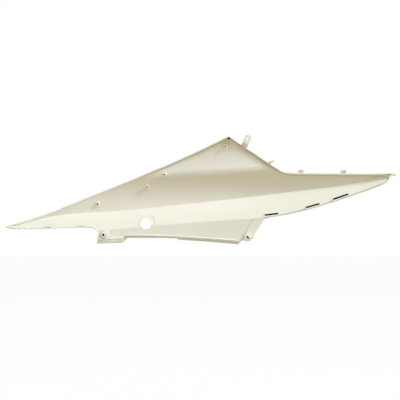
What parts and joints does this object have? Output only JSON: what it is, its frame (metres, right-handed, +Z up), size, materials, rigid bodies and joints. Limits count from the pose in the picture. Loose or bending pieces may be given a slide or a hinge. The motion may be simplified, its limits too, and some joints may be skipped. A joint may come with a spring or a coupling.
{
  "type": "scooter side panel",
  "caption": "Long pointed moulded scooter side panel with a creased band, raised fin, screw posts, edge hooks, slotted loops and a round opening for a lock.",
  "frame": {"origin": "centre of the seat face of the lower front fixing post, the panel's main fixing point on the machine's frame", "axes": "+X along the machine from the low nose to the raised tail, +Y outward from the machine, so the screw posts face -Y, +Z up"},
  "size_m": [0.8555, 0.0662, 0.2406],
  "materials": {
    "cream_plastic": "cream white moulded plastic, satin on the inner side and glossier on the outer side"
  },
  "bodies": {
    "root": {"side_panel": "cream_plastic"}
  },
  "joints": []
}
